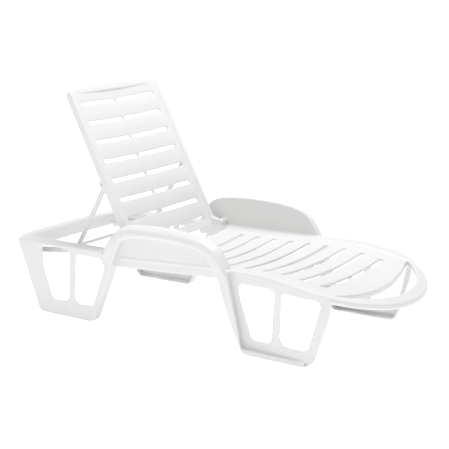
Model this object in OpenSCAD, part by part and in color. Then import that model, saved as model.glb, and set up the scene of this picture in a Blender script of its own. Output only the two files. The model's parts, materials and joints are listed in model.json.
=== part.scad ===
// Reclining sun lounger: moulded bed frame, slatted folding back and support bail.
// Axes: head end at -X, foot end at +X, width along Y, +Z up, origin on the floor
// under the middle of the frame.

/* [Frame] */
// Length of the frame over the head crossbar and the foot bow
frame_l = 1860; // [1845:5:1875]
// Width over the two armrests
frame_w = 700; // [690:2:720]
// Height of the side rails above the floor
rail_h = 316; // [310:2:322]
// How far the rails sink from the thighs to the foot bow
foot_drop = 95; // [80:1:98]
// How far the seat hollows across its width
seat_dish = 22; // [10:1:26]
// Height of the armrests above the floor
arm_h = 445; // [430:1:460]

/* [Seat] */
// Distance from one seat slot to the next
seat_pitch = 86; // [80:1:88]
// Number of seat slots
seat_slots = 9; // [7:1:9]
// Width of every slot
slot_w = 17; // [10:1:22]

/* [Back] */
// Angle of the back above the horizontal
back_angle = 64; // [45:1:68]
// Length of the back from its hinge to its top edge
back_l = 739; // [720:1:745]
// Width of the back over its side rails
back_w = 556; // [550:2:556]
// Number of back slots
back_slots = 8; // [6:1:8]
// Distance from one back slot to the next
back_pitch = 87; // [80:1:88]

/* [Support bail] */
// Length of the bail from its pivot to its foot rod
bail_l = 342; // [335:1:345]
// Diameter of the foot rod
rod_d = 14; // [10:1:16]

/* [Hinges] */
// Diameter of the hinge pins
pin_d = 12; // [10:1:14]
// Diameter of the bail pivot pins
bail_pin_d = 8; // [6:1:10]
// Radial running clearance of a turning pin
run_gap = 0.05; // [0.02:0.01:0.1]

/* [Hidden] */
resin = [0.95, 0.95, 0.93];

head_x = -frame_l / 2;
foot_x = frame_l / 2;
half_w = frame_w / 2;

// Planes across the width, measured from the middle
deck_y = 280;           // seat edge and inner face of the rails
rail_y = 303;           // outer face of the rails, inner face of legs and arms
leg_y = 345;            // outer face of the legs
skin = 5;               // wall of the mouldings

// Legs, in side view
head_leg_x = -729;      // rear bottom corner of the head leg
head_toe_x = -410;      // front edge of the head leg, carried down to the floor
foot_leg_x = 371;       // rear bottom corner of the foot leg
foot_toe_x = 665;       // front bottom corner of the foot leg
toe_lean = 0.5;         // run per rise of the head leg's front edge
corner_x = head_x + 107; // where legs and rails meet the head crossbar
bow_c = 600;            // middle of the two ellipses that bound the bow in plan
bow_root_x = 748;       // where legs and rails meet the foot bow
arm_base_z = 262;       // where an armrest stands on the leg columns
arm_head_x = -330;      // head end of an armrest, where it stands on the head leg
arm_foot_x = 318;       // foot end of an armrest, where it stands on the foot leg

// Rail profile: level, then a curve down to the foot
drop_x = 450;
function rail_z(x) = rail_h - (x > drop_x ? foot_drop * pow((x - drop_x) / (foot_x - drop_x), 1.6) : 0);

// Hinge of the back, in side view
hinge_x = -182;
hinge_z = rail_h + 14;
eye_r = 17;

// Back section, measured along its own normal from the hinge axis
back_top_n = -28;       // upper edge of the back rails
back_low_n = -61;       // lower edge of the back rails
back_skin = 11;         // thickness of the slats
back_dish = 20;         // hollow of the back across its width
back_rail_t = 22;       // width of a back rail
first_slot_s = 658;     // topmost slot, from the hinge
slot_half = 229;        // half length of a slot
rib_t = 9;              // rib that splits each back slot

// Bail pivot on the back, and the foot rod's place at rest
bail_s = 310;
bail_n = -62;
bail_y = 240;
bail_t = 11;
bail_w = 20;
bail_x = hinge_x - bail_s * cos(back_angle) + bail_n * sin(back_angle);
bail_z = hinge_z + bail_s * sin(back_angle) + bail_n * cos(back_angle);
rod_rest_z = rail_h - 21;
rod_x = bail_x - sqrt(pow(bail_l, 2) - pow(bail_z - rod_rest_z, 2));
bail_tilt = atan2(bail_z - rod_rest_z, bail_x - rod_x);

// Foot rod places for the four positions of the back: x, z
notch_spots = [[rod_x, rod_rest_z], [-636, 291], [-704, 285.5], [-764, 279.5]];

// ---------- helpers ----------

// Rounds the corners of an outline; r gives one radius for each corner
function unit(v) = v / norm(v);
function corner(p0, p1, p2, r) =
    let (a = unit(p0 - p1), b = unit(p2 - p1), half = acos(a * b) / 2,
         c = p1 + unit(a + b) * r / sin(half),
         s = p1 + a * r / tan(half) - c, e = p1 + b * r / tan(half) - c,
         a0 = atan2(s[1], s[0]), turn = atan2(e[1], e[0]) - a0,
         d = turn > 180 ? turn - 360 : (turn < -180 ? turn + 360 : turn), n = 6)
    [for (i = [0:n]) c + r * [cos(a0 + d * i / n), sin(a0 + d * i / n)]];
function rounded(p, r) =
    [for (i = [0:len(p) - 1])
        each (r[i] == 0 ? [p[i]]
            : corner(p[(i + len(p) - 1) % len(p)], p[i], p[(i + 1) % len(p)], r[i]))];

// Closed skin through rings of equal length
module loft(rings) {
    n = len(rings[0]);
    m = len(rings);
    walls = [for (j = [0:m - 2]) for (i = [0:n - 1])
        [j * n + i, (j + 1) * n + i, (j + 1) * n + (i + 1) % n, j * n + (i + 1) % n]];
    polyhedron(
        points = [for (r = rings) each r],
        faces = concat([[for (i = [0:n - 1]) i]],
                       [for (f = walls) each [[f[0], f[1], f[2]], [f[0], f[2], f[3]]]],
                       [[for (i = [n - 1:-1:0]) (m - 1) * n + i]]),
        convexity = 6);
}

// Extrudes an outline drawn in side view (x, z) from y0 to y1
module side_plate(y0, y1) {
    translate([0, y1, 0]) rotate([90, 0, 0]) linear_extrude(y1 - y0) children();
}

// Draws the right side as it is and the left side as its mirror image
module on_side(side) {
    if (side < 0) children();
    else mirror([0, 1, 0]) children();
}

// Places geometry drawn with the back lying flat towards -X at the back's angle
module on_back() {
    translate([hinge_x, 0, hinge_z]) rotate([0, back_angle, 0]) children();
}

// ---------- bed frame ----------

seat_x0 = -148;
toe_x = 618;            // where the two front parts of the seat meet
seat_end_x = 785;
seat_end_r = 30;        // how far the seat end curves back at the sides
deck_t = 11;
first_slot_x = -30;
toe_end_x = 800;        // the toe part is drawn this far and then cut back

// Height of the seat's straight lengths along the bed, and of its hollowed top
function between(x, x0, x1) = rail_z(x0) + (rail_z(x1) - rail_z(x0)) * (x - x0) / (x1 - x0);
function seat_line(x) = x < drop_x ? rail_h : (x < toe_x ? between(x, drop_x, toe_x) : between(x, toe_x, toe_end_x));
function hollow(y) = -3 - seat_dish * (1 - pow(y / deck_y, 2));
function deck_z(x, y) = seat_line(x) + hollow(y);

module seat_slots() {
    for (i = [0:seat_slots - 1])
        translate([first_slot_x + i * seat_pitch - slot_w / 2, -slot_half, 150])
            cube([slot_w, 2 * slot_half, 250]);
}

// Section of the seat, in y and z, from the height of the rails
module seat_section() {
    upper = [for (i = [-8:8]) [deck_y * i / 8, hollow(deck_y * i / 8)]];
    polygon(concat(upper, [for (i = [16:-1:0]) upper[i] - [0, deck_t]]));
}

// Level part of the seat
module seat_deck() {
    color(resin) difference() {
        translate([seat_x0, 0, rail_h]) rotate([90, 0, 90]) linear_extrude(drop_x - seat_x0) seat_section();
        seat_slots();
    }
}

// Straight length of the seat that falls towards the foot, cut square at both ends
module seat_fall(x0, x1) {
    intersection() {
        translate([x0, 0, rail_z(x0)]) rotate([0, atan2(rail_z(x0) - rail_z(x1), x1 - x0), 0])
            translate([-10, 0, 0]) rotate([90, 0, 90]) linear_extrude(x1 - x0 + 20) seat_section();
        translate([x0, -deck_y - 1, 150]) cube([x1 - x0, 2 * deck_y + 2, 250]);
    }
}
module seat_front() {
    color(resin) difference() {
        seat_fall(drop_x, toe_x);
        seat_slots();
    }
}
module seat_toe() {
    color(resin) difference() {
        seat_fall(toe_x, toe_end_x);
        seat_slots();
        // the end curves away towards both sides
        translate([0, 0, 150]) linear_extrude(250)
            polygon([[820, -300], [820, 300],
                     for (i = [-10:10]) [seat_end_x - seat_end_r * pow(i / 8, 2), -30 * i]]);
    }
}

// Ribs under the slats
rail_depth = 28;
spine_t = 12;
spine_h = 58;
beam_h = 66;
module seat_spine() {
    top = [for (x = [seat_x0, drop_x, toe_x, 745]) [x, deck_z(x, 0) - deck_t - (x < drop_x ? 0.1 : 1)]];
    end = top[len(top) - 1];
    color(resin) side_plate(-spine_t / 2, spine_t / 2)
        polygon([each top, end - [0, 10], [620, rail_h - spine_h - 9], [450, rail_h - spine_h],
                 [seat_x0, rail_h - spine_h]]);
}

// Rib across the seat, from rail to rail, slotted for the middle rib
module cross_beam(x) {
    top = [for (i = [-8:8]) [deck_y * i / 8, deck_z(x, deck_y * i / 8) - deck_t - 0.3]];
    color(resin) difference() {
        translate([x - 12, 0, 0]) rotate([90, 0, 90]) linear_extrude(24)
            polygon([each top, [deck_y, rail_h - rail_depth], [deck_y - 60, rail_h - beam_h],
                     [60 - deck_y, rail_h - beam_h], [-deck_y, rail_h - rail_depth]]);
        translate([x - 13, -spine_t / 2 - 0.1, rail_h - spine_h - 0.1])
            cube([26, spine_t + 0.2, spine_h]);
    }
}
module hip_beam() cross_beam(-100);
module thigh_beam() cross_beam(360);

module rail() {
    top = [for (x = [corner_x, for (i = [0:10]) drop_x + (bow_root_x - drop_x) * i / 10])
        [x, rail_z(x)]];
    low = [for (i = [len(top) - 1:-1:0]) top[i] - [0, rail_depth]];
    color(resin) difference() {
        side_plate(-rail_y, -deck_y) polygon(concat(top, low));
        side_plate(-rail_y + skin, -deck_y - skin)
            polygon([[corner_x + skin, rail_h - rail_depth - 1], [-300, rail_h - rail_depth - 1],
                     [-300, rail_h - skin], [corner_x + skin, rail_h - skin]]);
    }
}
module rail_right() on_side(-1) rail();
module rail_left() on_side(1) rail();

// Moves an outline inwards by d, or outwards where it runs clockwise
function left_of(a, b) = unit([a[1] - b[1], b[0] - a[0]]);
function inset(p, d) =
    [for (i = [0:len(p) - 1])
        let (n0 = left_of(p[(i + len(p) - 1) % len(p)], p[i]),
             n1 = left_of(p[i], p[(i + 1) % len(p)]))
        p[i] + (n0 + n1) * d / (1 + n0 * n1)];

// A leg is a thin panel with two windows, and the wall that runs back along its edge
module leg_wall(outline) {
    side_plate(-leg_y, -rail_y) difference() {
        polygon(outline);
        polygon(inset(outline, skin));
    }
}
module cut_windows(windows) {
    side_plate(-leg_y - 1, -rail_y + 1) for (w = windows) polygon(w);
}

head_outline = rounded(
    [[head_leg_x, 0], [head_toe_x, 0], [head_toe_x + toe_lean * arm_base_z, arm_base_z],
     [arm_head_x, arm_base_z], [arm_head_x, rail_h], [corner_x, rail_h], [corner_x, 276]],
    [34, 34, 0, 0, 0, 0, 0]);
head_windows = [
    rounded([[-684, 306], [-688, 212], [-646, 66], [-543, 70], [-517, 298]], [26, 60, 30, 34, 24]),
    rounded([[-483, 285], [-513, 66], [-404, 70], [-306, 283]], [18, 32, 24, 34])];

rail_curve = [for (i = [10:-1:0]) let (x = drop_x + (bow_root_x - drop_x) * i / 10) [x, rail_z(x)]];
foot_outline = rounded(
    concat([[foot_leg_x, 0], [foot_toe_x, 0], [736, 176], [742, 204], [bow_root_x, 214]], rail_curve,
           [[arm_foot_x - 9.3, rail_h], [arm_foot_x + 0.5, arm_base_z], [272, arm_base_z],
            [290, 206], [316, 126]]),
    [30, 34, 0, 0, 0, for (i = [1:16]) 0]);
foot_windows = [
    rounded([[352, 269], [354, 214], [405, 58], [499, 58], [523, 272]], [16, 60, 28, 28, 22]),
    rounded([[553, 263], [537, 60], [665, 60], [722, 256]], [20, 32, 36, 26])];

// The foot leg's face steps in beside the arch and comes out again to the bow
face_step = 26;
ledge_h = 22;           // ledge left standing along the foot of that face
face_x = 295;           // where the step is deepest
face_edge = [[368, ledge_h], [800, ledge_h], [800, 330], [308, 330], [322, 250], [338, 180], [352, 117]];

// How far the outside of the foot leg lies from the middle plane
function corner_y(x) = x < bow_c ? leg_y : leg_y * sqrt(1 - pow((x - bow_c) / (foot_x - bow_c), 2));
function face_y(x) = min(corner_y(x), leg_y - face_step * (bow_root_x - x) / (bow_root_x - face_x));

corner_xs = [for (i = [0:12]) bow_c + (bow_root_x - bow_c) * i / 12];

// Everything between two distances behind the stepped face
module behind_face(t0, t1) {
    xs = concat([face_x], corner_xs);
    translate([0, 0, -1]) linear_extrude(400)
        polygon([for (x = xs) [x, t0 - face_y(x)], for (i = [len(xs) - 1:-1:0]) [xs[i], t1 - face_y(xs[i])]]);
}
module foot_corner_cut() {
    translate([0, 0, -1]) linear_extrude(400) difference() {
        translate([bow_c, -leg_y - 1]) square([150, 60]);
        polygon([for (x = corner_xs) [x, -corner_y(x)], [bow_root_x + 3, -corner_y(bow_root_x + 3)],
                 [bow_root_x + 3, 150 - leg_y], [bow_c, 150 - leg_y]]);
    }
}

module head_leg() {
    color(resin) difference() {
        side_plate(-leg_y, skin - leg_y) polygon(inset(head_outline, skin));
        cut_windows(head_windows);
    }
}
module head_leg_wall() {
    color(resin) leg_wall(head_outline);
}
module foot_leg() {
    inner = inset(foot_outline, skin);
    color(resin) difference() {
        union() {
            // the column beside the arch, and the ledge
            side_plate(-leg_y, skin - leg_y) difference() {
                polygon(inner);
                polygon(face_edge);
            }
            // the face, and the step that leads in to it
            intersection() {
                side_plate(-leg_y, -rail_y) intersection() {
                    polygon(inner);
                    polygon(inset(face_edge, -skin));
                }
                behind_face(0, skin);
            }
            intersection() {
                side_plate(-leg_y, -rail_y) difference() {
                    intersection() {
                        polygon(inner);
                        polygon(inset(face_edge, -skin));
                    }
                    polygon(face_edge);
                }
                behind_face(-face_step - 1, skin);
            }
        }
        foot_corner_cut();
        cut_windows(foot_windows);
    }
}
module foot_leg_wall() {
    color(resin) difference() {
        leg_wall(foot_outline);
        intersection() {
            side_plate(-leg_y - 1, -rail_y) polygon(face_edge);
            behind_face(-60, 0);
        }
        foot_corner_cut();
    }
}
module head_leg_right() on_side(-1) head_leg();
module head_leg_left() on_side(1) head_leg();
module foot_leg_right() on_side(-1) foot_leg();
module foot_leg_left() on_side(1) foot_leg();
module head_leg_wall_right() on_side(-1) head_leg_wall();
module head_leg_wall_left() on_side(1) head_leg_wall();
module foot_leg_wall_right() on_side(-1) foot_leg_wall();
module foot_leg_wall_left() on_side(1) foot_leg_wall();

// Armrest: an arch over the side. Each station pairs a point on its outer
// edge with one on its inner edge, says how far its top rounds off outwards,
// and how far it stands out beyond the legs, from 0 to 1.
arch_drawn = [
    [[arm_head_x, 262], [-279, 262], 4, 0], [[arm_head_x, 306], [-267, 296], 6, 0.4],
    [[-314, 345], [-247, 330], 11, 1], [[-286, 385], [-232, 352], 20, 1],
    [[-250, 418], [-214, 376], 26, 1], [[-190, 437], [-176, 392], 28, 1],
    [[-110, 444], [-108, 399], 28, 1], [[-20, 445], [-20, 400], 28, 1],
    [[70, 442], [68, 397], 27, 1], [[140, 435], [134, 391], 25, 1],
    [[205, 422], [190, 380], 22, 1], [[256, 396], [224, 362], 16, 1],
    [[290, 350], [244, 332], 9, 1], [[310, 306], [258, 298], 6, 0.4],
    [[arm_foot_x, 262], [272, 262], 4, 0]];
arch_rise = 183;        // height of the drawn arch above the leg columns
function arch(p) = [p[0], arm_base_z + (p[1] - arm_base_z) * (arm_h - arm_base_z) / arch_rise];
arm_stations = [for (s = arch_drawn) [arch(s[0]), arch(s[1]), s[2], leg_y + (half_w - leg_y) * s[3]]];
module armrest() {
    color(resin) loft([for (s = arm_stations)
        let (o = s[0], i = s[1], d = unit(i - o), c = s[2], w = s[3])
        [for (q = [[o, rail_y], [o + d * c * 0.12, rail_y + 14], [o + d * c * 0.45, w - 12],
                   [o + d * c, w], [i, w], [i, rail_y]]) [q[0][0], -q[1], q[0][1]]]]);
}
module armrest_right() on_side(-1) armrest();
module armrest_left() on_side(1) armrest();

// Side panel under the arch: a flat inner wall, and an outer face that comes
// out from the head leg to the foot leg
panel_low = [[-284, 250], [262, 284]];
panel_turn = 3.2;
module side_panel() {
    edge = [for (s = arm_stations) s[1] + unit(s[1] - s[0]) * 0.4];
    outline = concat([panel_low[1], panel_low[0]], [for (i = [0:13]) edge[i]]);
    color(resin) {
        side_plate(-rail_y - 6, -rail_y) polygon(outline);
        translate([panel_low[0][0], -rail_y - 6, 0]) rotate([0, 0, -panel_turn])
            translate([-panel_low[0][0], 0, 0]) side_plate(-skin, 1) polygon(outline);
    }
}
module side_panel_right() on_side(-1) side_panel();
module side_panel_left() on_side(1) side_panel();

// Crossbar at the head end, bowed outwards and a little hollow
bar_w = 48;
bar_h = 66;
bar_bow = 95;
bar_sag = 8;
function bar_out(y) = head_x + bar_bow * pow(abs(y) / leg_y, 4);
function bar_top(y) = rail_h - bar_sag + bar_sag * pow(abs(y) / leg_y, 4);
function bar_low(y) = bar_top(y) - bar_h + 22 * pow(abs(y) / leg_y, 6);
module head_crossbar() {
    ys = [-leg_y, -338, -325, -rail_y, -281, -deck_y, -250, -210, -160, -100, -40];
    color(resin) loft([for (y = concat(ys, [for (i = [len(ys) - 1:-1:0]) -ys[i]]))
        let (xo = bar_out(y), xi = abs(y) > deck_y ? corner_x : xo + bar_w, z = bar_top(y))
        [[xo + 8, y, bar_low(y)], [xo, y, bar_low(y) + 8], [xo, y, z - 12], [xo + 5, y, z - 3],
         [xo + min(14, (xi - xo) / 2), y, z], [xi, y, z], [xi, y, bar_low(y)]]]);
}

// Bow at the foot end, a handle around the rounded end of the seat
bow_in_a = 280;
bow_in_b = 323;
bow_depth = 26;
module foot_bow() {
    turns = [for (i = [0:24]) 90 - 180 * i / 24];
    start = asin(sqrt(1 - pow((bow_root_x - bow_c) / (foot_x - bow_c), 2)));
    start_in = asin(sqrt(1 - pow((bow_root_x - bow_c) / bow_in_a, 2)));
    color(resin) loft([for (t = turns)
        let (a = t / 90 * start, b = t / 90 * start_in,
             o = [bow_c + (foot_x - bow_c) * cos(a), half_leg(a)],
             i = [bow_c + bow_in_a * cos(b), bow_in_b * sin(b)],
             d = unit(i - o), zo = rail_z(o[0]), zi = rail_z(i[0]))
        [[o[0], o[1], zo - bow_depth], [o[0], o[1], zo - 12],
         [o[0] + d[0] * 6, o[1] + d[1] * 6, zo - 3], [o[0] + d[0] * 16, o[1] + d[1] * 16, zo],
         [i[0] - d[0] * 10, i[1] - d[1] * 10, zi], [i[0], i[1], zi - 8], [i[0], i[1], zi - bow_depth]]]);
}
function half_leg(a) = leg_y * sin(a);

// Ladder inside each rail that the foot rod drops into
rack_y = 262;
notch_sink = 5;         // how far a notch lies under the rod's own path
module notch_rack() {
    color(resin) difference() {
        side_plate(-deck_y, -rack_y)
            polygon([[-840, 240], [-600, 262], [-532, 268], [-532, 287], [-560, 286.5], [-672, 279.5],
                     [-764, 271], [-800, 264.5], [-820, 262], [-840, 256]]);
        for (s = notch_spots)
            translate([s[0], -rack_y + 1, s[1] - notch_sink]) rotate([90, 0, 0])
                cylinder(h = deck_y - rack_y + 2, d = rod_d + 3, $fn = 40);
    }
}
module notch_rack_right() on_side(-1) notch_rack();
module notch_rack_left() on_side(1) notch_rack();

// Bracket that carries a hinge pin, on top of each rail
module hinge_bracket() {
    color(resin) difference() {
        intersection() {
            translate([hinge_x, -deck_y - 2, hinge_z]) rotate([90, 0, 0])
                cylinder(h = rail_y - deck_y - 2, r = eye_r, $fn = 60);
            translate([hinge_x - 50, -rail_y - 5, rail_h]) cube([100, 60, 60]);
        }
        translate([hinge_x, -deck_y + 10, hinge_z]) rotate([90, 0, 0])
            cylinder(h = 60, d = pin_d, $fn = 48);
    }
}
module hinge_bracket_right() on_side(-1) hinge_bracket();
module hinge_bracket_left() on_side(1) hinge_bracket();

module hinge_pin() {
    color([0.82, 0.82, 0.8]) translate([hinge_x, 6 - panel_y, hinge_z]) rotate([90, 0, 0]) {
        cylinder(h = rail_y - panel_y + 6, d = pin_d, $fn = 48);
        cylinder(h = 5, d = pin_d + 8, $fn = 48);
    }
}
module hinge_pin_right() on_side(-1) hinge_pin();
module hinge_pin_left() on_side(1) hinge_pin();

// ---------- back, drawn lying flat: x = -s, z = n ----------

half_back = back_w / 2;
panel_y = half_back - back_rail_t;
function back_z(y) = back_top_n - 4 - back_dish * (1 - pow(y / panel_y, 2));
panel_s0 = 4;
panel_s1 = back_l - 30;

module back_panel() {
    upper = [for (i = [-8:8]) [panel_y * i / 8, back_z(panel_y * i / 8)]];
    lower = [for (i = [8:-1:-8]) upper[i + 8] - [0, back_skin]];
    color(resin) on_back() difference() {
        translate([-panel_s1, 0, 0]) rotate([90, 0, 90]) linear_extrude(panel_s1 - panel_s0)
            polygon(concat(upper, lower));
        for (i = [0:back_slots - 1])
            for (side = [-1, 1])
                translate([-first_slot_s + i * back_pitch - slot_w / 2,
                           side > 0 ? rib_t / 2 : -slot_half, -100])
                    cube([slot_w, slot_half - rib_t / 2, 100]);
    }
}

// Side rail of the back, with the hinge eye at its lower end
module back_rail() {
    color(resin) on_back() difference() {
        union() {
            side_plate(-half_back, -panel_y)
                polygon([[-back_l + 30, back_low_n + 6], [-60, back_low_n], [-14, back_low_n + 8], [-4, -40],
                         [eye_r * 0.9, 0], [0, eye_r * 0.9], [-eye_r, 0], [-40, back_top_n],
                         [-back_l + 30, back_top_n]]);
            translate([0, -panel_y, 0]) rotate([90, 0, 0]) cylinder(h = back_rail_t, r = eye_r, $fn = 60);
            // lug that carries the bail pin
            side_plate(-half_back, -bail_y - bail_t - 0.6)
                polygon([[-bail_s - 26, back_low_n + 8], [-bail_s - 11, bail_n - 11], [-bail_s + 11, bail_n - 11],
                         [-bail_s + 26, back_low_n + 8]]);
        }
        translate([0, 1 - panel_y, 0]) rotate([90, 0, 0])
            cylinder(h = back_rail_t + 2, d = pin_d + 2 * run_gap, $fn = 48);
        translate([-bail_s, -bail_y, bail_n]) rotate([90, 0, 0])
            cylinder(h = half_back, d = bail_pin_d, $fn = 36);
    }
}
module back_rail_right() on_side(-1) back_rail();
module back_rail_left() on_side(1) back_rail();

// Arched rail across the top of the back
module back_top_rail() {
    ys = [for (i = [-10:10]) half_back * i / 10];
    color(resin) on_back() loft([for (y = ys)
        let (w = abs(y) / half_back, top = back_l - 9 * pow(w, 2) - 11 * pow(w, 12),
             n1 = back_top_n - 8 * (1 - pow(w, 2)))
        [[-top, y, back_low_n + 10], [-top, y, n1 - 8], [-top + 5, y, n1],
         [-back_l + 30, y, n1], [-back_l + 30, y, back_low_n + 10]]]);
}

// ---------- support bail ----------

module at_bail() {
    translate([bail_x, 0, bail_z]) rotate([0, 180 - bail_tilt, 0]) children();
}
module bail_arm() {
    color([0.93, 0.93, 0.91]) at_bail() difference() {
        union() {
            translate([0, -bail_y, 0]) rotate([90, 0, 0]) cylinder(h = bail_t, r = bail_w / 2, $fn = 40);
            translate([0, -bail_y - bail_t, -bail_w / 2]) cube([bail_l, bail_t, bail_w]);
            translate([bail_l, -bail_y, 0]) rotate([90, 0, 0]) cylinder(h = bail_t, r = bail_w / 2, $fn = 40);
        }
        translate([0, -bail_y + 1, 0]) rotate([90, 0, 0])
            cylinder(h = bail_t + 2, d = bail_pin_d + 2 * run_gap, $fn = 36);
        translate([bail_l, -bail_y + 1, 0]) rotate([90, 0, 0]) cylinder(h = bail_t + 2, d = rod_d, $fn = 40);
    }
}
module bail_arm_right() on_side(-1) bail_arm();
module bail_arm_left() on_side(1) bail_arm();
rod_half = 274;
module bail_rod() {
    color([0.93, 0.93, 0.91]) translate([rod_x, rod_half, rod_rest_z]) rotate([90, 0, 0])
        cylinder(h = 2 * rod_half, d = rod_d, $fn = 40);
}
module bail_pin() {
    color([0.82, 0.82, 0.8]) on_back() translate([-bail_s, -bail_y + 6, bail_n]) rotate([90, 0, 0]) {
        cylinder(h = half_back - bail_y + 2, d = bail_pin_d, $fn = 36);
        cylinder(h = 5, d = bail_pin_d + 6, $fn = 36);
    }
}
module bail_pin_right() on_side(-1) bail_pin();
module bail_pin_left() on_side(1) bail_pin();

seat_deck();
seat_front();
seat_toe();
seat_spine();
hip_beam();
thigh_beam();
rail_right();
rail_left();
head_leg_right();
head_leg_left();
foot_leg_right();
foot_leg_left();
head_leg_wall_right();
head_leg_wall_left();
foot_leg_wall_right();
foot_leg_wall_left();
armrest_right();
armrest_left();
side_panel_right();
side_panel_left();
head_crossbar();
foot_bow();
notch_rack_right();
notch_rack_left();
hinge_bracket_right();
hinge_bracket_left();
hinge_pin_right();
hinge_pin_left();
back_panel();
back_rail_right();
back_rail_left();
back_top_rail();
bail_arm_right();
bail_arm_left();
bail_rod();
bail_pin_right();
bail_pin_left();
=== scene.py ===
import json
import math

import bmesh
import bpy
import numpy as np
from mathutils import Matrix, Vector


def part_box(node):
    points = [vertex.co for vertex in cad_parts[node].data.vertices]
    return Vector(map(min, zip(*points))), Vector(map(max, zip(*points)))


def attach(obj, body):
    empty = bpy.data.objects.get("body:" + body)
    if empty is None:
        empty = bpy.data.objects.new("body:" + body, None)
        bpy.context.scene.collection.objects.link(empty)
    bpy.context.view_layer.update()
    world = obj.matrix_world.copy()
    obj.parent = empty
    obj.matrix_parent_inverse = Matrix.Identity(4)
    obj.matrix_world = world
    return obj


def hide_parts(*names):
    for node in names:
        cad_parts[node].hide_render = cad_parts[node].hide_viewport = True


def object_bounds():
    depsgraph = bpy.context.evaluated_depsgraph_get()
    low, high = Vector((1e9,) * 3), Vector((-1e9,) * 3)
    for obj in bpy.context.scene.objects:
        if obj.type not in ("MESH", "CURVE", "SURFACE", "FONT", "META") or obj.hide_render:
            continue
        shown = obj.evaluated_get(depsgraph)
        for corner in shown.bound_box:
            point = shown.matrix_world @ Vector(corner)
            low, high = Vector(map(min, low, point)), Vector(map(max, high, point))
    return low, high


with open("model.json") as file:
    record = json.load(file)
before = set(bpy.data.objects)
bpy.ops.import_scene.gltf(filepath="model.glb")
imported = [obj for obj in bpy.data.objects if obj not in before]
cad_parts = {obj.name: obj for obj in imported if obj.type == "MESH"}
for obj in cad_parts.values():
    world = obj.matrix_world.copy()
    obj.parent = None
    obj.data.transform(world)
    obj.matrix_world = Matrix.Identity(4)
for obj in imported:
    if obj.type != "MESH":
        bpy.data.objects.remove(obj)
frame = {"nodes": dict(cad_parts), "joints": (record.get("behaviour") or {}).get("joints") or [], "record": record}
cad_box = [[float(c) for c in corner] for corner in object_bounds()]

# Every length below is in millimetres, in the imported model's own frame, until a mesh is made.
MM = 0.001
nodes = frame["nodes"]
bodies = frame["record"]["behaviour"]["bodies"]


def node_box(name):
    """Lowest and highest corner of a CAD node, in millimetres."""
    low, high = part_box(name)
    return np.array(low) / MM, np.array(high) / MM


# ---------- sizes, read from the CAD frame ----------

whole_low, whole_high = (np.array(corner) / MM for corner in cad_box)
head_x = whole_low[0]
foot_x = whole_high[0]
half_w = whole_high[1]
rail_low, rail_high = node_box("rail_right")
rail_y, deck_y = -rail_low[1], -rail_high[1]
rail_h = rail_high[2]
leg_low = node_box("head_leg_wall_right")[0]
leg_y = -leg_low[1]
corner_x = leg_low[0]
bow_root_x = node_box("foot_bow")[0][0]
seat_low, seat_high = node_box("seat_deck")
seat_x0 = seat_low[0]
drop_x = seat_high[0]
seat_end_x = round(node_box("seat_toe")[1][0])  # the box is in single precision

# ---------- sizes that the boxes don't give, following the CAD source ----------

foot_drop = 95
seat_dish = 22
seat_end_r = 30
seat_end_y = 224        # the seat end has gone back by seat_end_r this far from the middle
straight_x = 700        # the seat's cross lines are straight up to here
deck_t = 11
slot_w = 17
slot_half = 229
seat_pitch = 86
seat_slot_xs = [-30 + seat_pitch * i for i in range(9)]

bar_w = 48
bar_h = 66
bar_bow = 95
bar_sag = 8

bow_c = 600
bow_in_a, bow_in_b = 280, 323
bow_depth = 26

hinge = np.array(frame["joints"][0]["pos_m"]) / MM
back_angle = math.radians(64)
back_l = 739
half_back = node_box("back_top_rail")[1][1]
panel_y = half_back - 22
back_top_n, back_low_n = -28, -61
back_dish = 20
back_skin = 11
back_pitch = 87
back_slot_s = [658 - back_pitch * i for i in range(8)]
rib_t = 9
slat_crown = 2.2        # how far a seat slat stands up between its slots
back_crown = 2.0        # the same for a back slat


def rail_z(x):
    """Height of the rim along the bed: level, then a curve down to the foot."""
    return rail_h - (foot_drop * ((x - drop_x) / (foot_x - drop_x)) ** 1.6 if x > drop_x else 0)


def smooth_step(value, low, high):
    t = min(max((value - low) / (high - low), 0), 1)
    return t * t * (3 - 2 * t)


# ---------- mesh helpers ----------

def add_mesh(name, points, faces):
    mesh = bpy.data.meshes.new(name)
    mesh.from_pydata([tuple(float(c) * MM for c in p) for p in points], [], faces)
    mesh.update()
    obj = bpy.data.objects.new(name, mesh)
    bpy.context.scene.collection.objects.link(obj)
    return obj


def loft(name, rings):
    """Closed skin through rings of equal length."""
    n = len(rings[0])
    points = [p for ring in rings for p in ring]
    faces = [(j * n + i, j * n + (i + 1) % n, (j + 1) * n + (i + 1) % n, (j + 1) * n + i)
             for j in range(len(rings) - 1) for i in range(n)]
    faces.append(tuple(range(n - 1, -1, -1)))
    faces.append(tuple(len(points) - n + i for i in range(n)))
    obj = add_mesh(name, points, faces)
    outward(obj)
    return obj


def outward(obj):
    """Turns all faces of a closed mesh outwards."""
    bm = bmesh.new()
    bm.from_mesh(obj.data)
    bmesh.ops.recalc_face_normals(bm, faces=bm.faces)
    bm.to_mesh(obj.data)
    bm.free()


def prism(name, outline, direction):
    """Extrudes a closed outline of 3-D points along a vector."""
    step = np.array(direction, float)
    ring = [np.array(p, float) for p in outline]
    return loft(name, [ring, [p + step for p in ring]])


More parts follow.
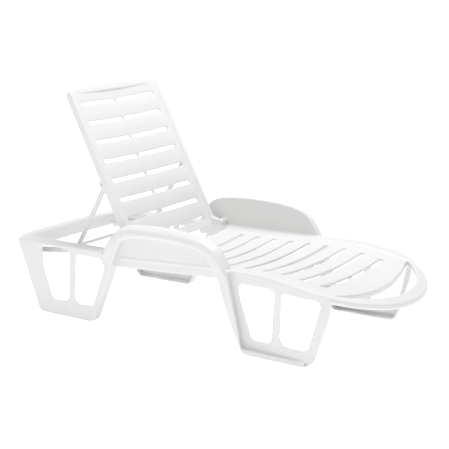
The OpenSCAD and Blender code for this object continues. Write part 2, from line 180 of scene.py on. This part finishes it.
def sheet(name, top, thickness_vector):
    """Closed plate from a grid of top points; its lower face lies at the vector from each."""
    rows, cols = len(top), len(top[0])
    step = np.array(thickness_vector, float)
    points = [np.array(p, float) for row in top for p in row]
    points += [p + step for p in points]
    half = rows * cols

    def at(r, c):
        return r * cols + c

    faces = []
    for r in range(rows - 1):
        for c in range(cols - 1):
            quad = (at(r, c), at(r, c + 1), at(r + 1, c + 1), at(r + 1, c))
            faces.append(quad)
            faces.append(tuple(q + half for q in reversed(quad)))
    rim = [at(0, c) for c in range(cols)] + [at(r, cols - 1) for r in range(1, rows)]
    rim += [at(rows - 1, c) for c in range(cols - 2, -1, -1)] + [at(r, 0) for r in range(rows - 2, 0, -1)]
    faces += [(rim[i], rim[(i + 1) % len(rim)], rim[(i + 1) % len(rim)] + half, rim[i] + half)
              for i in range(len(rim))]
    obj = add_mesh(name, points, faces)
    outward(obj)
    return obj


def stadium(x, y0, y1, width):
    """Outline of a slot with round ends, across the bed."""
    r = width / 2
    turn = [math.pi * i / 10 for i in range(11)]
    return ([(x + r * math.cos(a), y1 - r + r * math.sin(a)) for a in turn]
            + [(x - r * math.cos(a), y0 + r - r * math.sin(a)) for a in turn])


def settle(obj):
    """Applies the modifiers of an object to its mesh."""
    graph = bpy.context.evaluated_depsgraph_get()
    mesh = bpy.data.meshes.new_from_object(obj.evaluated_get(graph))
    obj.modifiers.clear()
    old = obj.data
    obj.data = mesh
    bpy.data.meshes.remove(old)


def cut(obj, cutters):
    """Takes closed cutters out of a closed mesh."""
    tool = joined("cutters", cutters)
    boolean = obj.modifiers.new("cut", "BOOLEAN")
    boolean.operation = "DIFFERENCE"
    boolean.solver = "MANIFOLD"
    boolean.object = tool
    settle(obj)
    bpy.data.objects.remove(tool)


def joined(name, parts):
    """One object with the meshes of several, which are taken away."""
    bm = bmesh.new()
    for part in parts:
        bm.from_mesh(part.data)
    mesh = bpy.data.meshes.new(name)
    bm.to_mesh(mesh)
    bm.free()
    for part in parts:
        bpy.data.objects.remove(part)
    obj = bpy.data.objects.new(name, mesh)
    bpy.context.scene.collection.objects.link(obj)
    return obj


def copy_of(node):
    obj = bpy.data.objects.new("copy_" + node, nodes[node].data.copy())
    obj.data.materials.clear()
    bpy.context.scene.collection.objects.link(obj)
    return obj


def mirrored(obj):
    """A copy of a right-hand piece on the left-hand side."""
    twin = bpy.data.objects.new(obj.name + "_left", obj.data.copy())
    twin.data.transform(Matrix.Diagonal((1, -1, 1, 1)))
    twin.data.flip_normals()
    bpy.context.scene.collection.objects.link(twin)
    return twin


def moulded(name, parts, voxel, passes, triangles):
    """Melts overlapping parts into one moulding with soft edges and fillets."""
    obj = joined(name, parts)
    remesh = obj.modifiers.new("melt", "REMESH")
    remesh.mode = "VOXEL"
    remesh.voxel_size = voxel * MM
    soften = obj.modifiers.new("soften", "SMOOTH")
    soften.factor = 0.5
    soften.iterations = passes
    settle(obj)
    drop_inner_shells(obj)
    count = sum(len(p.vertices) - 2 for p in obj.data.polygons)
    thin = obj.modifiers.new("thin", "DECIMATE")
    thin.ratio = min(1, triangles / count)
    settle(obj)
    obj.data.polygons.foreach_set("use_smooth", [True] * len(obj.data.polygons))
    return obj


def drop_inner_shells(obj):
    """Keeps only the largest connected shell."""
    mesh = obj.data
    edges = np.empty(len(mesh.edges) * 2, int)
    mesh.edges.foreach_get("vertices", edges)
    edges = edges.reshape(-1, 2)
    label = np.arange(len(mesh.vertices))
    while True:
        low = np.minimum(label[edges[:, 0]], label[edges[:, 1]])
        before = label.copy()
        np.minimum.at(label, edges[:, 0], low)
        np.minimum.at(label, edges[:, 1], low)
        label = label[label]
        if (label == before).all():
            break
    names, sizes = np.unique(label, return_counts=True)
    if len(names) == 1:
        return
    keep = names[sizes.argmax()]
    bm = bmesh.new()
    bm.from_mesh(mesh)
    bm.verts.ensure_lookup_table()
    gone = [bm.verts[int(i)] for i in np.nonzero(label != keep)[0]]
    bmesh.ops.delete(bm, geom=gone, context="VERTS")
    bm.to_mesh(mesh)
    bm.free()


def catmull(stations, per_span):
    """Smooth values through rows of numbers."""
    rows = np.array(stations, float)
    padded = np.vstack([2 * rows[0] - rows[1], rows, 2 * rows[-1] - rows[-2]])
    out = []
    for i in range(len(rows) - 1):
        p0, p1, p2, p3 = padded[i:i + 4]
        for k in range(per_span):
            t = k / per_span
            out.append(0.5 * (2 * p1 + (p2 - p0) * t + (2 * p0 - 5 * p1 + 4 * p2 - p3) * t ** 2
                              + (3 * p1 - p0 - 3 * p2 + p3) * t ** 3))
    out.append(rows[-1])
    return out


# ---------- bed frame ----------

def seat():
    """Hollowed seat with crowned slats; its slots are cut with round ends."""
    def height(x, y):
        base = rail_z(x) - 3 - seat_dish * (1 - min(abs(y) / deck_y, 1) ** 2)
        phase = (x - seat_slot_xs[0]) / seat_pitch
        among = smooth_step(x, -90, -60) * (1 - smooth_step(x, 700, 730))
        inside = 1 - smooth_step(abs(y), slot_half - 6, slot_half + 26)
        return base - slat_crown * (0.5 + 0.5 * math.cos(2 * math.pi * phase)) * among * inside

    def along(x, y):
        if x <= straight_x:
            return x
        end = seat_end_x - seat_end_r * (y / seat_end_y) ** 2
        return straight_x + (end - straight_x) * (x - straight_x) / (seat_end_x - straight_x)

    xs = list(np.linspace(seat_x0, seat_end_x, 150))
    ys = np.linspace(-deck_y - 4, deck_y + 4, 61)
    grid = [[(along(x, y), y, height(along(x, y), y)) for y in ys] for x in xs]
    obj = sheet("seat", grid, (0, 0, -deck_t))
    cut(obj, [prism("slot", [(px, py, 150) for px, py in stadium(x, -slot_half, slot_half, slot_w)],
                    (0, 0, 250)) for x in seat_slot_xs])
    lip_front = [(along(seat_end_x, y), y, height(along(seat_end_x, y), y) - 2) for y in ys]
    lip = loft("seat_lip", [[(x - 6, y, z), (x, y, z), (x, y, z - 20), (x - 6, y, z - 20)]
                            for x, y, z in lip_front])
    return [obj, lip]


# Armrest stations: outer edge x, z; inner edge x, z; crown; how far it stands out past the legs
ARCH = [
    [-330, 257, -281, 257, 4, 0], [-330, 306, -267, 296, 8, 0.4], [-314, 345, -247, 330, 14, 1],
    [-286, 385, -232, 352, 21, 1], [-250, 418, -214, 376, 26, 1], [-190, 437, -176, 392, 28, 1],
    [-110, 444, -108, 399, 28, 1], [-20, 445, -20, 400, 28, 1], [70, 442, 68, 397, 27, 1],
    [140, 435, 134, 391, 25, 1], [205, 422, 190, 380, 23, 1], [256, 396, 224, 362, 18, 1],
    [290, 350, 244, 332, 12, 1], [310, 306, 258, 298, 8, 0.4], [319, 257, 274, 257, 4, 0]]


def armrest():
    """Arch over the side, crowned on top and flat on its inner face."""
    rings = []
    for ox, oz, ix, iz, crown, reach in catmull(ARCH, 7):
        outer, inner = np.array([ox, oz]), np.array([ix, iz])
        down = (inner - outer) / np.linalg.norm(inner - outer)
        depth = np.linalg.norm(inner - outer)
        side = leg_y + (half_w - leg_y) * min(max(reach, 0), 1)
        width = side - rail_y
        profile = [(rail_y + width * math.sin(a), crown * (1 - math.cos(a)))
                   for a in (math.pi / 2 * i / 8 for i in range(9))]
        profile += [(side, depth - 7), (side - 2, depth - 2), (side - 7, depth), (rail_y, depth)]
        rings.append([(outer[0] + down[0] * d, -y, outer[1] + down[1] * d) for y, d in profile])
    return loft("armrest", rings)


PANEL_TURN = math.radians(3.2)  # how the outer face comes out towards the foot
PANEL_X0 = -274.5               # where that turn starts
PANEL_LOW = [(262, 284), (-284, 250)]  # lower corners of the panel: x, z
PANEL_WALL = 6
PANEL_SKIN = 5


def side_panel():
    """Wall under the arch: flat inside, and coming out towards the foot outside."""
    arch = catmull(ARCH, 4)[1:-4]
    outline = PANEL_LOW + [
        (s[2] + (s[0] - s[2]) * 0.18, s[3] + (s[1] - s[3]) * 0.18) for s in arch]

    def face_y(x):
        return -rail_y - PANEL_WALL - PANEL_SKIN - (x - PANEL_X0) * math.tan(PANEL_TURN)

    inner = prism("panel_inner", [(x, -rail_y - PANEL_WALL, z) for x, z in outline], (0, PANEL_WALL, 0))
    outer = prism("panel_outer", [(x, face_y(x), z) for x, z in outline], (0, PANEL_SKIN, 0))
    bead = []
    for i in range(41):
        x = -262 + 508 * i / 40
        z = 250 + 34 * (x - PANEL_X0) / 528 + 40
        bead.append([(x, face_y(x) + 1, z - 7), (x, face_y(x) - 2, z - 1.5),
                     (x, face_y(x) - 2, z + 1.5), (x, face_y(x) + 1, z + 7)])
    return [inner, outer, loft("bead", bead)]


def head_crossbar():
    """Bowed bar across the head end, with a rounded section.

    It thins towards its ends and turns late into the corners, to clear the lowered bail's rod.
    """
    rings = []
    for y in np.linspace(-leg_y, leg_y, 121):
        w = abs(y) / leg_y
        outer = head_x + bar_bow * w ** 4 + 14 * max(0, (abs(y) - 318) / 27) ** 3
        reach = smooth_step(abs(y), 277, 296)
        inner = (outer + bar_w - 9 * w ** 4) * (1 - reach) + (corner_x + 6) * reach
        top = rail_h - bar_sag + bar_sag * w ** 4
        low = top - bar_h + 22 * w ** 6
        rounding = [math.pi / 2 * i / 6 for i in range(7)]
        r_out, r_in = 17, 13 * (1 - reach) + 2 * reach
        ring = [(outer + 5, y, low), (outer, y, low + 6)]
        ring += [(outer + r_out * (1 - math.cos(a)), y, top - r_out + r_out * math.sin(a)) for a in rounding]
        ring += [(inner - r_in + r_in * math.sin(a), y, top - r_in + r_in * math.cos(a)) for a in rounding]
        ring += [(inner, y, low + 4), (inner - 4, y, low)]
        rings.append(ring)
    return loft("crossbar", rings)


def foot_bow():
    """Handle around the end of the seat, between two half ellipses in plan."""
    reach = foot_x - bow_c
    start = math.asin(math.sqrt(1 - ((bow_root_x - 8 - bow_c) / reach) ** 2))
    start_in = math.asin(math.sqrt(1 - ((bow_root_x - 8 - bow_c) / bow_in_a) ** 2))
    rings = []
    for t in np.linspace(-1, 1, 121):
        a, b = t * start, t * start_in
        o = np.array([bow_c + reach * math.cos(a), leg_y * math.sin(a)])
        i = np.array([bow_c + bow_in_a * math.cos(b), bow_in_b * math.sin(b)])
        d = (i - o) / np.linalg.norm(i - o)
        width = np.linalg.norm(i - o)
        zo, zi = rail_z(o[0]), rail_z(i[0])
        rounding = [math.pi / 2 * k / 6 for k in range(7)]
        r_out, r_in = 12, 9
        side = [(r_out * (1 - math.cos(k)), zo - r_out + r_out * math.sin(k)) for k in rounding]
        side += [(width - r_in + r_in * math.sin(k), zi - r_in + r_in * math.cos(k)) for k in rounding]
        side = [(0, zo - bow_depth + 4)] + side + [(width, zi - bow_depth + 3), (width - 3, zi - bow_depth),
                                                   (4, zo - bow_depth)]
        rings.append([(o[0] + d[0] * s, o[1] + d[1] * s, z) for s, z in side])
    return loft("bow", rings)


FRAME_COPIES = [n for n in bodies["frame"]
                if n.startswith(("rail_", "head_leg", "foot_leg", "notch_rack", "hinge_bracket",
                                 "seat_spine", "hip_beam", "thigh_beam"))]


def bed_frame():
    """The whole bed as one moulding, without the hinge pins."""
    parts = [copy_of(n) for n in FRAME_COPIES]
    parts += seat()
    for piece in [armrest()] + side_panel():
        parts += [piece, mirrored(piece)]
    parts += [head_crossbar(), foot_bow()]
    obj = moulded("bed_frame", parts, voxel=2.6, passes=6, triangles=195000)
    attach(obj, "frame")
    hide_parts(*[n for n in bodies["frame"] if not n.startswith("hinge_pin")])
    return obj


# ---------- back ----------

def on_back(s, y, n):
    """A point of the back, from its distance to the hinge along it and along its normal."""
    c, si = math.cos(back_angle), math.sin(back_angle)
    return (hinge[0] - s * c + n * si, y, hinge[2] + s * si + n * c)


def back():
    """Hollowed slatted panel between two rails, with an arched top rail."""
    def level(s, y):
        base = back_top_n - 4 - back_dish * (1 - (y / panel_y) ** 2)
        phase = (s - back_slot_s[0]) / back_pitch
        among = smooth_step(s, 10, 30) * (1 - smooth_step(s, 690, 700))
        inside = 1 - smooth_step(abs(y), slot_half - 6, slot_half + 14)
        return base - back_crown * (0.5 + 0.5 * math.cos(2 * math.pi * phase)) * among * inside

    ys = np.linspace(-panel_y - 3, panel_y + 3, 61)
    ss = np.linspace(4, back_l - 20, 130)
    grid = [[on_back(s, y, level(s, y)) for y in ys] for s in ss]
    down = np.array(on_back(0, 0, -back_skin)) - np.array(on_back(0, 0, 0))
    panel = sheet("back_sheet", grid, down)
    away = np.array(on_back(0, 0, 90)) - np.array(on_back(0, 0, 0))
    slots = []
    for s in back_slot_s:
        for y0, y1 in ((-slot_half, -rib_t / 2), (rib_t / 2, slot_half)):
            outline = [on_back(ps, py, -100) for ps, py in stadium(s, y0, y1, slot_w)]
            slots.append(prism("slot", outline, away))
    cut(panel, slots)
    rings = []
    for y in np.linspace(-half_back, half_back, 81):
        w = abs(y) / half_back
        top = back_l - 1.2 - 9 * w ** 2 - 11 * w ** 12 - 8 * max(0, (w - 0.95) / 0.05) ** 2
        face = back_top_n - 3 - 15 * (1 - w ** 2)
        low = back_low_n + 10
        rounding = [math.pi / 2 * k / 5 for k in range(6)]
        r = 9
        ring = [(back_l - 34, face), (back_l - 34, low), (top - 3, low), (top, low + 3)]
        ring += [(top - r + r * math.cos(a), face - r + r * math.sin(a)) for a in rounding]
        rings.append([on_back(s, y, n) for s, n in ring])
    top_rail = loft("top_rail", rings)
    obj = moulded("back", [panel, top_rail, copy_of("back_rail_right"), copy_of("back_rail_left")],
                  voxel=2.2, passes=6, triangles=150000)
    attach(obj, "back")
    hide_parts("back_panel", "back_rail_right", "back_rail_left", "back_top_rail")
    return obj


# ---------- bail ----------

def bail():
    """The two arms and the foot rod, with soft edges."""
    parts = [copy_of(n) for n in ("bail_arm_right", "bail_arm_left", "bail_rod")]
    obj = moulded("bail", parts, voxel=1.3, passes=4, triangles=60000)
    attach(obj, "bail")
    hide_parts("bail_arm_right", "bail_arm_left", "bail_rod")
    return obj


# ---------- material ----------

def resin(name, light, dark, rough_low, rough_high):
    """White moulded polypropylene: fine grain, faint flow clouds, lighter convex edges, painted shade in the
    creases, a few dull specks and a satin sheen.
    """
    mat = bpy.data.materials.new(name)
    mat.use_nodes = True
    tree = mat.node_tree
    bsdf = tree.nodes["Principled BSDF"]
    coords = tree.nodes.new("ShaderNodeTexCoord")

    def noise(scale, detail):
        node = tree.nodes.new("ShaderNodeTexNoise")
        node.inputs["Scale"].default_value = scale
        node.inputs["Detail"].default_value = detail
        tree.links.new(coords.outputs["Object"], node.inputs["Vector"])
        return node.outputs["Fac"]

    def blend(factor, first, second):
        node = tree.nodes.new("ShaderNodeMix")
        node.data_type = "RGBA"
        for socket, value in (("A", first), ("B", second)):
            if isinstance(value, tuple):
                node.inputs[socket].default_value = (*value, 1)
            else:
                tree.links.new(value, node.inputs[socket])
        tree.links.new(factor, node.inputs["Factor"])
        return node.outputs["Result"]

    def ramp(value, low, high, to):
        node = tree.nodes.new("ShaderNodeMapRange")
        node.inputs["From Min"].default_value = low
        node.inputs["From Max"].default_value = high
        node.inputs["To Max"].default_value = to
        tree.links.new(value, node.inputs["Value"])
        return node.outputs["Result"]

    clouds, smears, specks, grain = noise(5, 3), noise(22, 4), noise(260, 3), noise(1100, 2)
    tint = blend(clouds, dark, light)
    # lighter along convex edges, painted shade darkening the concave creases and hollows, and a few dull specks
    bend = tree.nodes.new("ShaderNodeNewGeometry").outputs["Pointiness"]
    tint = blend(ramp(bend, 0.52, 0.64, 0.35), tint, tuple(min(1, c * 1.05) for c in light))
    # painted shade: concave creases and hollows get a darker tone
    tint = blend(ramp(bend, 0.485, 0.4, 0.6), tint, tuple(c * 0.72 for c in dark))
    tint = blend(ramp(specks, 0.66, 0.8, 0.35), tint, tuple(c * 0.9 for c in dark))
    tree.links.new(tint, bsdf.inputs["Base Color"])
    rough = tree.nodes.new("ShaderNodeMapRange")
    rough.inputs["To Min"].default_value = rough_low
    rough.inputs["To Max"].default_value = rough_high
    tree.links.new(smears, rough.inputs["Value"])
    tree.links.new(rough.outputs["Result"], bsdf.inputs["Roughness"])
    bump = tree.nodes.new("ShaderNodeBump")
    bump.inputs["Strength"].default_value = 0.25
    bump.inputs["Distance"].default_value = 0.0002
    tree.links.new(grain, bump.inputs["Height"])
    tree.links.new(bump.outputs["Normal"], bsdf.inputs["Normal"])
    bsdf.inputs["IOR"].default_value = 1.49
    return mat


white = resin("white_resin", (0.668, 0.668, 0.663), (0.64, 0.64, 0.635), 0.34, 0.5)
pin_white = resin("pin_resin", (0.62, 0.62, 0.61), (0.58, 0.58, 0.57), 0.25, 0.35)


def finish_with(obj, mat):
    """Leaves a mesh with one material."""
    obj.data.materials.clear()
    obj.data.materials.append(mat)


frame_obj = bed_frame()
back_obj = back()
bail_obj = bail()
for obj in (frame_obj, back_obj, bail_obj):
    finish_with(obj, white)
for name, obj in nodes.items():
    if "_pin_" in name:
        finish_with(obj, pin_white)


# ---------- stage ----------

FLOOR_HALF = 9000
FLOOR_GLOW = 0.38


def stage_floor():
    """White sweep, lit from below like a light table."""
    corners = [(x * FLOOR_HALF, y * FLOOR_HALF, 0) for x, y in ((-1, -1), (1, -1), (1, 1), (-1, 1))]
    floor = add_mesh("floor", corners, [(0, 1, 2, 3)])
    mat = bpy.data.materials.new("floor")
    mat.use_nodes = True
    bsdf = mat.node_tree.nodes["Principled BSDF"]
    bsdf.inputs["Base Color"].default_value = (0.97, 0.97, 0.97, 1)
    bsdf.inputs["Roughness"].default_value = 0.9
    bsdf.inputs["Emission Color"].default_value = (1, 1, 1, 1)
    bsdf.inputs["Emission Strength"].default_value = FLOOR_GLOW
    floor.data.materials.append(mat)


def light(name, place, target, size, power):
    """Round soft box."""
    lamp = bpy.data.lights.new(name, "AREA")
    lamp.shape = "DISK"
    lamp.size = size
    lamp.energy = power
    obj = bpy.data.objects.new(name, lamp)
    obj.location = place
    obj.rotation_euler = (Vector(target) - Vector(place)).to_track_quat("-Z", "Y").to_euler()
    bpy.context.scene.collection.objects.link(obj)


def bounce(name, direction, strength):
    """Light thrown back by the white sweep that the object stands on; it casts no shadows."""
    lamp = bpy.data.lights.new(name, "SUN")
    lamp.energy = strength
    lamp.angle = 0.5
    lamp.use_shadow = False
    obj = bpy.data.objects.new(name, lamp)
    obj.rotation_euler = Vector(direction).to_track_quat("-Z", "Y").to_euler()
    bpy.context.scene.collection.objects.link(obj)


def studio_world():
    """White below the horizon, where the sweep goes on behind the floor, and softer above it."""
    world = bpy.data.worlds.new("studio")
    world.use_nodes = True
    tree = world.node_tree
    coords = tree.nodes.new("ShaderNodeTexCoord")
    split = tree.nodes.new("ShaderNodeSeparateXYZ")
    level = tree.nodes.new("ShaderNodeMapRange")
    level.inputs["From Min"].default_value = 0.0
    level.inputs["From Max"].default_value = 0.04
    level.inputs["To Min"].default_value = 1.1
    level.inputs["To Max"].default_value = 0.66
    tree.links.new(coords.outputs["Generated"], split.inputs["Vector"])
    tree.links.new(split.outputs["Z"], level.inputs["Value"])
    tree.links.new(level.outputs["Result"], tree.nodes["Background"].inputs["Strength"])
    tree.nodes["Background"].inputs["Color"].default_value = (1, 1, 1, 1)
    bpy.context.scene.world = world


CAMERA_PLACE = (2.7402, -3.480, 1.4082)
CAMERA_TURN = (37.7345, 12.895, -2.3002)  # azimuth, elevation and roll, in degrees
CAMERA_LENS = 87.59706
SENSOR = 36


def camera():
    """Stands where the photograph was taken from."""
    azimuth, elevation, roll = (math.radians(a) for a in CAMERA_TURN)
    forward = Vector((-math.sin(azimuth) * math.cos(elevation), math.cos(azimuth) * math.cos(elevation),
                      -math.sin(elevation)))
    right = Vector((math.cos(azimuth), math.sin(azimuth), 0))
    up = right.cross(forward)
    right, up = (math.cos(roll) * right + math.sin(roll) * up, math.cos(roll) * up - math.sin(roll) * right)
    data = bpy.data.cameras.new("camera")
    data.sensor_width = SENSOR
    data.lens = CAMERA_LENS
    obj = bpy.data.objects.new("camera", data)
    turn = Matrix((right, up, -forward)).transposed().to_4x4()
    obj.matrix_world = Matrix.Translation(CAMERA_PLACE) @ turn
    bpy.context.scene.collection.objects.link(obj)
    bpy.context.scene.camera = obj


stage_floor()
camera()
studio_world()
light("key", (-2.6, -3.2, 4.2), (0, 0, 0.3), 2.5, 8)
light("top", (0.3, 0.6, 4.5), (0, 0, 0.3), 3.0, 160)
bounce("front_bounce", (0.1, 1, -0.05), 0.42)
bounce("floor_bounce", (0, 0.15, 1), 0.4)
bpy.context.scene.view_settings.view_transform = "Standard"
